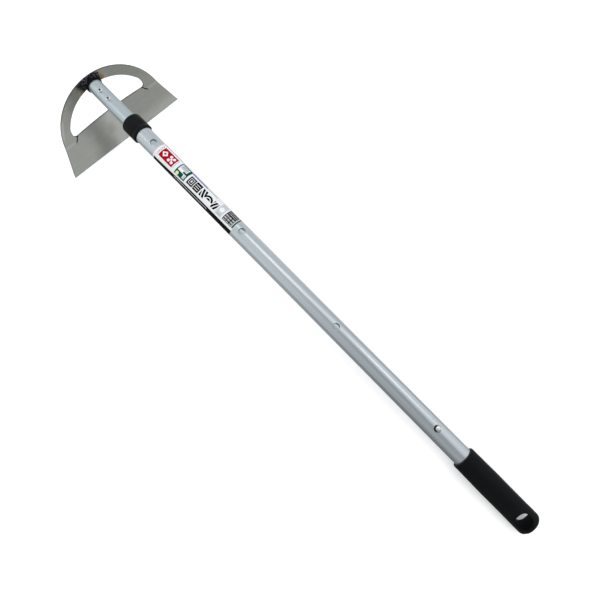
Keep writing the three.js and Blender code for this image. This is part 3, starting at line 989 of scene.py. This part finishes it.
def blank_opening():
    meet = math.asin((OPENING_ARC_RISE + OPENING_DROP) / OPENING_RADIUS)
    crown = arc(0, -OPENING_DROP, OPENING_RADIUS, meet, math.pi - meet, 72)
    half_gap = Vector((SLIT_GAP / 2, SLIT_GAP / 2))
    foot = [SLIT_FOOT - half_gap, SLIT_FOOT + Vector((0.1, -0.12)), SLIT_FOOT + half_gap]
    slit_inside = curve(SLIT_MOUTH - half_gap, SLIT_BEND - half_gap, foot[0], 8)
    slit_outside = curve(foot[-1], SLIT_BEND + half_gap, SLIT_MOUTH + half_gap, 8)
    lip = curve(SLIT_MOUTH + half_gap, (61.9, 8.1), (64.2, 8.5), 4)
    corner = curve(lip[-1], (66.8, 12.6), crown[0], 10)
    rise = TONGUE_MIDDLE_HEIGHT - TONGUE_END_HEIGHT
    tongue_radius = (TONGUE_HALF_WIDTH ** 2 + rise ** 2) / (2 * rise)
    half = math.asin(TONGUE_HALF_WIDTH / tongue_radius)
    tongue = arc(0, TONGUE_MIDDLE_HEIGHT - tongue_radius, tongue_radius,
                 math.pi / 2 - half, math.pi / 2 + half, 40)
    right = [*slit_inside, *foot[1:-1], *slit_outside, *lip[1:], *corner[1:]]
    # Up the right side, over the crown, down the left side and back along the tongue.
    return right + crown[1:-1] + mirrored(right) + tongue[::-1]


def make_plate():
    bm = bmesh.new()
    edges = []
    for outline in (blank_outer(), blank_opening()):
        verts = [bm.verts.new((x, y, 0)) for x, y in outline]
        edges += [bm.edges.new((a, b)) for a, b in zip(verts, verts[1:] + verts[:1])]
    bmesh.ops.triangle_fill(bm, edges=edges, use_beauty=True)
    bmesh.ops.dissolve_limit(bm, angle_limit=0.01, verts=bm.verts, edges=bm.edges)
    fold_rises = (-FOLD_REACH, -FOLD_REACH / 2, -0.5, FOLD_REACH / 2, FOLD_REACH)
    for rise in (CUTTING_LINE - BLADE_DEPTH, GRIND_WIDTH - BLADE_DEPTH, *fold_rises):
        slice_all(bm, (0, rise, 0), (0, 1, 0))
    for across in FOLD_SLICES:
        for side in (across, -across):
            slice_all(bm, (side, 0, 0), (1, 0, 0), lambda f: abs(f.calc_center_median().y + 2) < 1.5)
    made = bmesh.ops.extrude_face_region(bm, geom=list(bm.faces))
    for vertex in made["geom"]:
        if isinstance(vertex, bmesh.types.BMVert):
            vertex.co.z = -PLATE_THICKNESS
    bmesh.ops.recalc_face_normals(bm, faces=bm.faces)
    edge_limit = 0.05 - BLADE_DEPTH
    rim = [e for e in bm.edges if len(e.link_faces) == 2 and e.calc_face_angle(0) > 1.0
           and not all(v.co.y < edge_limit for v in e.verts)
           and abs(e.verts[0].co.z - e.verts[1].co.z) < 0.01]
    bmesh.ops.bevel(bm, geom=rim, offset=0.42, offset_type="OFFSET", segments=2, profile=0.5,
                    affect="EDGES", clamp_overlap=False)
    # Rim faces and a thin strip along the cutting edge take the second material, the painted rim shade.
    for face in bm.faces:
        at_edge = face.calc_center_median().y < CUTTING_LINE - BLADE_DEPTH
        depths = [v.co.z for v in face.verts]
        broad = min(depths) > -0.01 or max(depths) < 0.01 - PLATE_THICKNESS
        face.material_index = 0 if broad and not at_edge else 1
    for vertex in bm.verts:
        across, rise, depth = vertex.co
        ground = EDGE_LAND + (PLATE_THICKNESS - EDGE_LAND) * steady((rise + BLADE_DEPTH) / GRIND_WIDTH)
        depth *= ground / PLATE_THICKNESS
        vertex.co = plate_point(across, rise, depth)
    bmesh.ops.triangulate(bm, faces=[f for f in bm.faces if len(f.verts) > 4])
    plate = finish_piece("blade_plate", bm, blade_material(), "head", ["head_plate"],
                         sharp=20, weighted=True)
    plate.data.materials.append(painted_rim_shade_material())


def slice_all(bm, place, normal, wanted=lambda face: True):
    """Cuts the wanted faces along a plane."""
    faces = [face for face in bm.faces if wanted(face)]
    edges = {edge for face in faces for edge in face.edges}
    verts = {vertex for edge in edges for vertex in edge.verts}
    bmesh.ops.bisect_plane(bm, geom=[*verts, *edges, *faces], dist=1e-4, plane_co=place, plane_no=normal)


# The weld, the stub and its screws.

# How far up the arch's plane the shaft's axis crosses it.
AXIS_RISE = -FOLD.z / math.cos(ARCH_LEAN)


def weld_section(turn, size):
    """The weld's section at a turn about the stub, as (distance from the stub's axis, height)."""
    ripple = 0.5 + 0.5 * math.cos(turn * 44)
    lump = noise.noise(Vector((turn * 2.1, 3.7, 0.4)))
    sideways = abs(math.sin(turn))
    reach = (3.0 + 3.9 * sideways ** 2 + 0.9 * lump + 0.5 * ripple) * size
    height = (3.1 + 0.5 * lump + 0.45 * ripple) * size
    inner = STUB_RADIUS - 0.2
    points = [(inner, 0.03)]
    for k in range(9):
        angle = math.pi / 2 * k / 8
        points.append((inner + reach * math.cos(angle) ** 0.85, 0.03 + height * math.sin(angle) ** 0.85))
    return points


def make_weld():
    bm = bmesh.new()
    end = math.radians(122)
    steps = 300
    sections = []
    for k in range(steps + 1):
        turn = -end + 2 * end * k / steps
        size = 0.25 + 0.75 * math.sin(math.pi / 2 * steady((end - abs(turn)) / math.radians(30)))
        section = []
        for distance, height in weld_section(turn, size):
            across = distance * math.sin(turn)
            rise = AXIS_RISE + distance * math.cos(turn) / math.cos(ARCH_LEAN) - height * math.tan(ARCH_LEAN)
            section.append(bm.verts.new(plate_point(across, rise, height)))
        sections.append(section)
    for first, second in zip(sections, sections[1:]):
        join_rings(bm, first, second)
    bm.faces.new(sections[0])
    bm.faces.new(sections[-1])
    finish_piece("weld_bead_rippled", bm, weld_material(), "head", ["weld_bead"], sharp=60)


def make_weld_lumps():
    """The second pass of weld that runs out along the arch on both sides, and a little spatter."""
    spots = [(-13.4, 1.6, 2.7, 1.5), (-15.6, -0.6, 1.9, 1.0), (-11.4, 4.6, 2.2, 1.3), (12.6, 2.8, 2.4, 1.3),
             (14.4, 5.4, 1.5, 0.8), (10.2, 6.4, 1.9, 1.1), (-17.9, 2.6, 0.8, 0.5), (16.8, 1.2, 0.7, 0.45)]
    bm = bmesh.new()
    for across, above, radius, height in spots:
        made = bmesh.ops.create_uvsphere(bm, u_segments=20, v_segments=12, radius=1.0)
        for vertex in made["verts"]:
            wobble = 1 + 0.18 * noise.noise(vertex.co * 1.7 + Vector((across, above, 0)))
            x, y, z = vertex.co * wobble
            vertex.co = plate_point(across + x * radius, AXIS_RISE + above + y * radius * 0.8,
                                    0.1 + max(z, -0.05) * height)
    finish_piece("weld_lumps", bm, weld_material(), "head", ["weld_bead"], sharp=80)


def make_stub():
    front, rear = SOCKET_ENDS
    seat = INNER_RADIUS + GAP
    spigot = INNER_RADIUS - INNER_WALL - GAP
    outline = rounded([
        (-12, STUB_RADIUS), (front, STUB_RADIUS), (front, SOCKET_RADIUS), (rear, SOCKET_RADIUS),
        (rear, seat), (-GAP, seat), (-GAP, spigot), (SPIGOT_REAR_X, spigot), (SPIGOT_REAR_X, 0),
    ], 0.55)
    bm = turned(outline, closed=False)
    rod = [v for v in bm.verts if v.co.x < -11.9]
    for vertex in rod:
        slope = math.tan(ARCH_LEAN)
        vertex.co.x = FOLD.x - (vertex.co.z - FOLD.z) * slope + 0.05
    rod.sort(key=lambda v: math.atan2(v.co.y, v.co.z))
    bm.faces.new(rod)
    tools = [turned([(2, 0), (2, SCREW_SHANK_RADIUS + GAP), (12, SCREW_SHANK_RADIUS + GAP), (12, 0)], 24,
                    closed=False, matrix=upright(x, SCREW_TURN)) for x in SCREW_X]
    finish_piece("stub_and_socket", cut_with(bm, tools), stub_material(), "head",
                 ["head_stub"], weighted=True)


def upright(x, turn=0.0):
    """Stands what was turned about X upright on the shaft at x, facing a turn."""
    stand = Matrix.Rotation(-math.pi / 2, 4, "Y")
    return Matrix.Translation((x, 0, 0)) @ Matrix.Rotation(-turn, 4, "X") @ stand


def cross_recess(top):
    """The tapered cross that a driver fits, as four-sided spikes."""
    tools = []
    for quarter in (0, 1):
        bm = bmesh.new()
        corners = []
        for height, length, width in ((top - 1.6, 0.9, 0.34), (top + 0.4, 2.4, 0.78)):
            corners.append([bm.verts.new((height, u * length, v * width))
                            for u, v in ((-1, -1), (1, -1), (1, 1), (-1, 1))])
        join_rings(bm, corners[0], corners[1])
        bm.faces.new(corners[0])
        bm.faces.new(corners[1])
        bm.transform(Matrix.Rotation(math.radians(35 + 90 * quarter), 4, "X"))
        tools.append(bm)
    return tools


def make_screw(name, x, node, material, dark):
    """A pan-head screw; the walls of its cross carry the second material, which is painted shade."""
    seat = INNER_RADIUS + 0.05
    head = [(seat + 0.75, SCREW_HEAD_RADIUS)]
    for k in range(1, 9):
        angle = math.pi / 2 * k / 9
        head.append((seat + 0.75 + 1.35 * math.sin(angle), SCREW_HEAD_RADIUS * math.cos(angle) ** 0.6))
    outline = [(2.6, 0), (3.4, SCREW_SHANK_RADIUS), (seat, SCREW_SHANK_RADIUS),
               (seat, SCREW_HEAD_RADIUS - 0.15), (seat + 0.15, SCREW_HEAD_RADIUS), *head, (seat + 2.1, 0)]
    bm = turned(outline, 48, closed=False)
    bm = cut_with(bm, cross_recess(seat + 2.1))
    for face in bm.faces:
        middle = face.calc_center_median()
        flare = min(1.0, math.hypot(middle.y, middle.z) / SCREW_HEAD_RADIUS) ** (1 / 0.6)
        surface = seat + 0.75 + 1.35 * math.sqrt(1 - flare ** 2)
        face.material_index = 1 if seat + 0.2 < middle.x < surface - 0.18 and flare < 0.6 else 0
    bm.transform(upright(x, SCREW_TURN))
    screw = finish_piece(name, bm, material, "head", [node], sharp=38, weighted=True)
    screw.data.materials.append(dark)


# The two tubes.

def tube_rows(ends, centres, reach):
    """Places of a tube's rings: close together over each hole, wider between, and rounded ends."""
    spacing = 9.0
    fine_steps = 12
    start, end = ends
    stops = [start, start + 0.08, start + 0.2, start + 0.35]
    for centre in centres:
        run = centre - reach - stops[-1]
        count = max(1, round(run / spacing))
        stops += [stops[-1] + run * (k + 1) / count for k in range(count)]
        stops += [centre - reach + 2 * reach * (k + 1) / fine_steps for k in range(fine_steps)]
    run = end - 0.35 - stops[-1]
    count = max(1, round(run / spacing))
    stops += [stops[-1] + run * (k + 1) / count for k in range(count)]
    return stops + [end - 0.2, end - 0.08, end]


def tube_radius(ends, radius, inward):
    """A tube's radius at x, eased off within a third of a millimetre of its ends."""
    def radius_at(x, _turn=0.0):
        ease = max(0.0, 0.35 - (x - ends[0]), 0.35 - (ends[1] - x))
        return radius + inward * (0.35 - math.sqrt(max(0.0, 0.35 ** 2 - ease ** 2)))
    return radius_at


def make_tube(name, ends, radius, wall, holes, material, body, node):
    """A tube with drilled holes, each given as (x, turn, radius)."""
    bm = bmesh.new()
    steps = 96
    reach = 6.4
    rows = [(x, None) for x in tube_rows(ends, [h[0] for h in holes], reach)]
    outside = Skin(bm, rows, tube_radius(ends, radius, -1), steps)
    inside = Skin(bm, rows, tube_radius(ends, radius - wall, 1), steps)
    windows = []
    for x, turn, hole_radius in holes:
        reach_turn = math.radians(30 if hole_radius > 3 else 22.5)
        windows.append(Window(outside, x, turn, reach, reach_turn, lambda heading, r=hole_radius: r))
    outside.fill(windows)
    inside.fill(windows)
    for window in windows:
        outer_edge = outside.patch(window, 0.3)
        inner_edge = inside.patch(window)
        join_loops(bm, outer_edge, inner_edge, window.loop)
    join_rings(bm, outside.rings[0], inside.rings[0])
    join_rings(bm, outside.rings[-1], inside.rings[-1])
    finish_piece(name, bm, material, body, [node], sharp=50)


def make_tubes():
    drawn = aluminium_material("outer_tube_anodised", (0.74, 0.80, 0.84, 1), (0.63, 0.69, 0.73, 1), 0.28)
    snap_holes = [(FIRST_HOLE_X + HOLE_PITCH * k, 0.0, HOLE_RADIUS) for k in range(HOLE_COUNT)]
    make_tube("outer_tube_drawn", OUTER_ENDS, OUTER_RADIUS, OUTER_WALL, snap_holes, drawn, "handle",
              "outer_tube")
    pale = aluminium_material("inner_tube_anodised", (0.66, 0.75, 0.78, 1), (0.57, 0.66, 0.69, 1), 0.36)
    holes = [(x, SCREW_TURN, SCREW_SHANK_RADIUS + GAP) for x in SCREW_X]
    holes.append((LATCH_X, 0.0, BUTTON_RADIUS + GAP))
    make_tube("inner_tube_drawn", (0, INNER_LENGTH), INNER_RADIUS, INNER_WALL, holes, pale, "head",
              "inner_tube")


# The collar, the label, the button and its spring.

def make_collar():
    front, rear = COLLAR_ENDS
    pocket = OUTER_RADIUS + 0.08
    step = OUTER_ENDS[0] - GAP - BUSH_LENGTH - GAP
    nose = [(front + 3.4 - 3.4 * math.cos(a), COLLAR_RADIUS - 3.4 + 3.4 * math.sin(a))
            for a in (math.pi / 2 * k / 12 for k in range(13))]
    waist = [(rear - 5.6, COLLAR_RADIUS), (rear - 5.3, COLLAR_RADIUS - 0.18),
             (rear - 4.9, COLLAR_RADIUS - 0.18), (rear - 4.6, COLLAR_RADIUS)]
    tail = rounded([(rear - 4.6, COLLAR_RADIUS), (rear, COLLAR_RADIUS), (rear, pocket),
                    (step, pocket), (step, COLLAR_LIP_RADIUS), (front, COLLAR_LIP_RADIUS)], 0.5)
    outline = [*nose, *waist, *tail[1:]]
    black = plastic_material("collar_black", (0.004, 0.0045, 0.0055), (0.007, 0.0078, 0.009),
                             0.36, 0.1, 0.5, 0.03)
    finish_piece("collar_moulding", turned(outline), black, "handle", ["tube_collar"])


def make_label():
    front, rear = LABEL_ENDS
    inside = OUTER_RADIUS + 0.05
    outside = OUTER_RADIUS + 0.35
    steps = 60
    places = [front + (rear - front) * k / steps for k in range(steps + 1)]
    outline = [(front, inside)]
    outline += [(x, outside + 0.012 * noise.noise(Vector((x * 0.09, 5.0, 1.0)))) for x in places]
    outline.append((rear, inside))
    bm = turned(outline)
    finish_piece("label_wrap", bm, label_material(), "handle", ["tube_label"])


def make_button():
    shoulder = BUTTON_TOP_Z - BUTTON_DOME
    outline = [(BUTTON_FOOT_Z, 0), (BUTTON_FOOT_Z, BUTTON_RADIUS - 0.4),
               (BUTTON_FOOT_Z + 0.4, BUTTON_RADIUS)]
    for k in range(17):
        angle = math.pi / 2 * k / 16
        radius = BUTTON_RADIUS * math.cos(angle) if k < 16 else 0
        outline.append((shoulder + BUTTON_DOME * math.sin(angle), radius))
    bm = turned(outline, 64, closed=False, matrix=upright(LATCH_X))
    finish_piece("button_dome", bm, button_material(), "snap_button", ["snap_button"],
                 sharp=45)


def spring_line():
    """The middle of the bent strip, from the upper leaf's end round the bend to the lower leaf's end."""
    half = SPRING_THICKNESS / 2
    top = BUTTON_FOOT_Z - GAP - half
    bend = 2.2 - half
    upper = [(LATCH_X + 8, top), (LATCH_X, top), (LATCH_X - 9, top)]
    lead = curve((LATCH_X - 9, top), (LATCH_X - 13, top), (LATCH_X - 17, top - 1.6), 6)[1:]
    turn = arc(SPRING_BEND_X, 0, bend, math.pi / 2, 1.5 * math.pi, 14)
    return upper + lead + turn + [(LATCH_X + 6, SPRING_FOOT_Z + half)]


def make_spring():
    points = [Vector(p) for p in spring_line()]
    half = SPRING_THICKNESS / 2
    left, right = [], []
    for k, point in enumerate(points):
        before = points[max(k - 1, 0)]
        after = points[min(k + 1, len(points) - 1)]
        heading = (after - before).normalized()
        side = Vector((-heading.y, heading.x)) * half
        left.append(point + side)
        right.append(point - side)
    section = left + right[::-1]
    bm = bmesh.new()
    sides = []
    for y in (-SPRING_WIDTH / 2, SPRING_WIDTH / 2):
        sides.append([bm.verts.new((p.x, y, p.y)) for p in section])
    join_rings(bm, sides[0], sides[1])
    count = len(points)
    for side in sides:
        for k in range(count - 1):
            bm.faces.new([side[k], side[k + 1], side[2 * count - 2 - k], side[2 * count - 1 - k]])
    steel = polished("spring_strip", (0.52, 0.53, 0.54, 1), 0.26)[0].material
    spring = finish_piece("leaf_spring", bm, steel, "head", ["button_spring"], sharp=30)
    soften = spring.modifiers.new("soft_edges", "BEVEL")
    soften.width = 0.12 * MM
    soften.segments = 2
    soften.limit_method = "ANGLE"
    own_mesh(spring)


# The grip.

RIB_PITCH = 2.0
RIB_DEPTH = 0.34
RIB_START = 733
RIB_END = 777
PANEL_HALF_TURN = math.radians(62)
GRIP_CORNER_RADIUS = 7
GRIP_TIP_X = GRIP_ENDS[1] - 0.25
GRIP_END_RADIUS = GRIP_RADIUS - 0.15
GRIP_SHOULDER_X = GRIP_ENDS[1] - 1.6 - GRIP_CORNER_RADIUS
# Places along the grip, and how far its outline lies from GRIP_RADIUS there.
GRIP_SHAPE = ((695.3, -0.4), (712.5, -0.25), (736.5, 0.0), (756.5, -0.2), (772.5, -0.3), (799.0, -0.15))


def grip_profile(x):
    """The grip's radius at x with no ribs."""
    if x >= GRIP_SHOULDER_X:
        drop = min(x - GRIP_SHOULDER_X, GRIP_CORNER_RADIUS)
        return GRIP_END_RADIUS - GRIP_CORNER_RADIUS + math.sqrt(GRIP_CORNER_RADIUS ** 2 - drop ** 2)
    for (x0, r0), (x1, r1) in zip(GRIP_SHAPE, GRIP_SHAPE[1:]):
        if x < x1:
            return GRIP_RADIUS + r0 + (r1 - r0) * smooth_step(x0, x1, x)
    return GRIP_END_RADIUS


def rib_drop(x, turn):
    """How far the ribbed panels, one on each broad side, lie under the grip's smooth surface."""
    off = (turn - GRIP_TURN + math.pi / 2) % math.pi - math.pi / 2
    share = abs(off) / PANEL_HALF_TURN
    bow = 7 * share ** 2
    inside = smooth_step(1.0, 0.93, share) * smooth_step(RIB_START + bow - 0.8, RIB_START + bow + 0.4, x)
    inside *= smooth_step(RIB_END - bow * 0.4 + 0.6, RIB_END - bow * 0.4 - 0.6, x)
    wave = 0.5 - 0.5 * math.cos(2 * math.pi * (x - RIB_START) / RIB_PITCH)
    return inside * (0.08 + RIB_DEPTH * wave)


def grip_radius(x, turn):
    return grip_profile(x) - rib_drop(x, turn)


def hang_outline(heading):
    """How far the hanging hole's wall is from its middle, in a heading."""
    half = HANG_HOLE_SIZE / 2
    reach = half - HANG_HOLE_CORNER_RADIUS
    c, s = abs(math.cos(heading)), abs(math.sin(heading))
    straight = half / max(c, s)
    if straight * min(c, s) <= reach:
        return straight
    both = reach * (c + s)
    return both + math.sqrt(both ** 2 - 2 * reach ** 2 + HANG_HOLE_CORNER_RADIUS ** 2)


def grip_rows():
    front, rear = GRIP_ENDS[0], GRIP_TIP_X
    rows = [(front, GRIP_RADIUS - 1.1), (front + 0.15, GRIP_RADIUS - 0.8), (front + 0.45, GRIP_RADIUS - 0.55)]
    places = [front + 0.8 + k * (RIB_START - 2 - front - 0.8) / 20 for k in range(21)]
    fine = RIB_PITCH / 8
    count = round((RIB_END + 1 - RIB_START + 2) / fine)
    places += [RIB_START - 2 + fine * (k + 1) for k in range(count)]
    start = HANG_HOLE_X - 12.2
    places = [x for x in places if x < start - 0.3]
    places += [start + 24.4 * k / 24 for k in range(25)]
    rows += [(x, None) for x in places]
    for k in range(1, 6):
        angle = 0.98 + (1.32 - 0.98) * k / 5
        x = GRIP_SHOULDER_X + GRIP_CORNER_RADIUS * math.sin(angle)
        rows.append((x, GRIP_END_RADIUS - GRIP_CORNER_RADIUS * (1 - math.cos(angle))))
    shoulder_x, shoulder_radius = rows[-1]
    for k in range(1, 7):
        share = k / 7
        rows.append((shoulder_x + (rear - shoulder_x) * math.sin(math.pi / 2 * share) ** 0.8,
                     shoulder_radius * (1 - share)))
    return rows


def make_grip():
    bm = bmesh.new()
    steps = 128
    outside = Skin(bm, grip_rows(), grip_radius, steps, GRIP_TURN)
    reach_turn = math.radians(50.7)
    near = Window(outside, HANG_HOLE_X, GRIP_TURN, 12.2, reach_turn, hang_outline)
    far = Window(outside, HANG_HOLE_X, GRIP_TURN + math.pi, 12.2, reach_turn, hang_outline)
    outside.fill([near, far])
    near_edge = outside.patch(near, 1.3)
    far_edge = outside.patch(far, 1.3)
    join_loops(bm, near_edge, far_edge, near.loop, lambda key: (key[0], steps // 2 - key[1]))
    close_ring(bm, outside.rings[-1], GRIP_TIP_X)

    bore = OUTER_RADIUS + 0.1
    front = GRIP_ENDS[0]
    bore_rows = [(front, bore + 1.1), (front + 0.1, bore + 0.8), (front + 0.4, bore + 0.35),
                 (front + 1.2, bore)]
    bore_rows += [(front + 1.2 + (GRIP_BORE_REAR_X - front - 1.2) * k / 8, bore) for k in range(1, 9)]
    inside = Skin(bm, bore_rows, grip_radius, steps, GRIP_TURN)
    inside.fill()
    join_rings(bm, outside.rings[0], inside.rings[0])
    close_ring(bm, inside.rings[-1], GRIP_BORE_REAR_X)
    finish_piece("grip_moulding", bm, grip_material(), "handle", ["grip"], sharp=60)


# The CAD pieces that keep their shape.

def dress_hidden_pieces():
    nylon = plastic_material("bush_nylon", (0.72, 0.71, 0.66), (0.80, 0.79, 0.75), 0.5, 0.3, 0.6, 0.02)
    plug = plastic_material("plug_dark", (0.02, 0.02, 0.022), (0.035, 0.035, 0.038), 0.6, 0.3, 0.6, 0.03)
    for name, material in (("guide_bush", nylon), ("collar_bush", nylon), ("tube_plug", plug)):
        mesh = frame["nodes"][name].data
        mesh.materials.clear()
        mesh.materials.append(material)


make_camera()
make_world()
make_lights()
make_floor()
make_plate()
make_weld()
make_weld_lumps()
make_stub()
screw_steel = polished("screw_plated", (0.97, 0.975, 0.98, 1), 0.1)[0].material
screw_recess_shade = recess_shade_material()
make_screw("screw_front", SCREW_X[0], "tube_screw_front", screw_steel, screw_recess_shade)
make_screw("screw_rear", SCREW_X[1], "tube_screw_rear", screw_steel, screw_recess_shade)
make_tubes()
make_collar()
make_label()
make_button()
make_spring()
make_grip()
dress_hidden_pieces()
